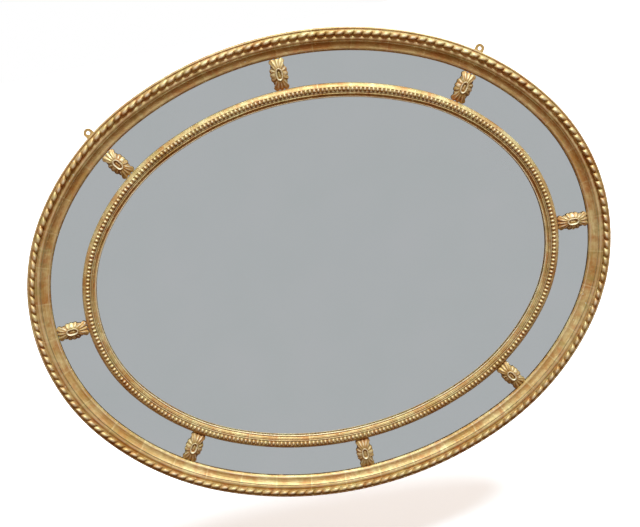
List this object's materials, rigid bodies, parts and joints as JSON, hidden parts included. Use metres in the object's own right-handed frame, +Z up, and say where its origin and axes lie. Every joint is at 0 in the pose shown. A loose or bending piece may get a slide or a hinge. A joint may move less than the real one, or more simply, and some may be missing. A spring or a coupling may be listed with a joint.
{
  "type": "oval wall mirror",
  "caption": "Oval giltwood wall mirror with a rope-carved outer frame, mirror border plates held by carved clips, a beaded inner frame and a central plate; hangs from plates on its back.",
  "frame": {"origin": "middle of the oval, on the back plane that lies against the wall", "axes": "+X along the long axis to the right seen from the front, +Y into the wall, +Z up"},
  "size_m": [1.293, 0.0332, 1.044],
  "materials": {
    "gilt_frame": "gilded, worn",
    "gilt_rope": "gilded, worn",
    "gilt_slip": "gilded, worn",
    "gilt_beads": "gilded, worn",
    "gilt_clips": "gilded, worn",
    "mirror_plate": "silvered glass",
    "pine_boards": "bare, aged",
    "brass_plates": "dull",
    "beech_tongues": "bare",
    "steel_screws": "dull"
  },
  "bodies": {
    "root": {"frame_right": "gilt_frame", "rope_right": "gilt_rope", "slip_right": "gilt_slip", "beads_right": "gilt_beads", "clip_right": "gilt_clips", "frame_upper_right": "gilt_frame", "rope_upper_right": "gilt_rope", "slip_upper_right": "gilt_slip", "beads_upper_right": "gilt_beads", "clip_upper_right": "gilt_clips", "frame_top": "gilt_frame", "rope_top": "gilt_rope", "slip_top": "gilt_slip", "beads_top": "gilt_beads", "clip_top": "gilt_clips", "frame_upper_left": "gilt_frame", "rope_upper_left": "gilt_rope", "slip_upper_left": "gilt_slip", "beads_upper_left": "gilt_beads", "clip_upper_left": "gilt_clips", "frame_left": "gilt_frame", "rope_left": "gilt_rope", "slip_left": "gilt_slip", "beads_left": "gilt_beads", "clip_left": "gilt_clips", "frame_lower_left": "gilt_frame", "rope_lower_left": "gilt_rope", "slip_lower_left": "gilt_slip", "beads_lower_left": "gilt_beads", "clip_lower_left": "gilt_clips", "frame_bottom": "gilt_frame", "rope_bottom": "gilt_rope", "slip_bottom": "gilt_slip", "beads_bottom": "gilt_beads", "clip_bottom": "gilt_clips", "frame_lower_right": "gilt_frame", "rope_lower_right": "gilt_rope", "slip_lower_right": "gilt_slip", "beads_lower_right": "gilt_beads", "clip_lower_right": "gilt_clips", "border_plate_1": "mirror_plate", "border_plate_2": "mirror_plate", "border_plate_3": "mirror_plate", "border_plate_4": "mirror_plate", "border_plate_5": "mirror_plate", "border_plate_6": "mirror_plate", "border_plate_7": "mirror_plate", "border_plate_8": "mirror_plate", "central_plate": "mirror_plate", "backboard_1": "pine_boards", "backboard_2": "pine_boards", "backboard_3": "pine_boards", "backboard_4": "pine_boards", "backboard_5": "pine_boards", "hanging_plate_right": "brass_plates", "hanging_plate_left": "brass_plates", "frame_tongues": "beech_tongues", "board_screws": "steel_screws", "clip_screws": "steel_screws", "hanging_screws": "steel_screws"}
  },
  "joints": []
}
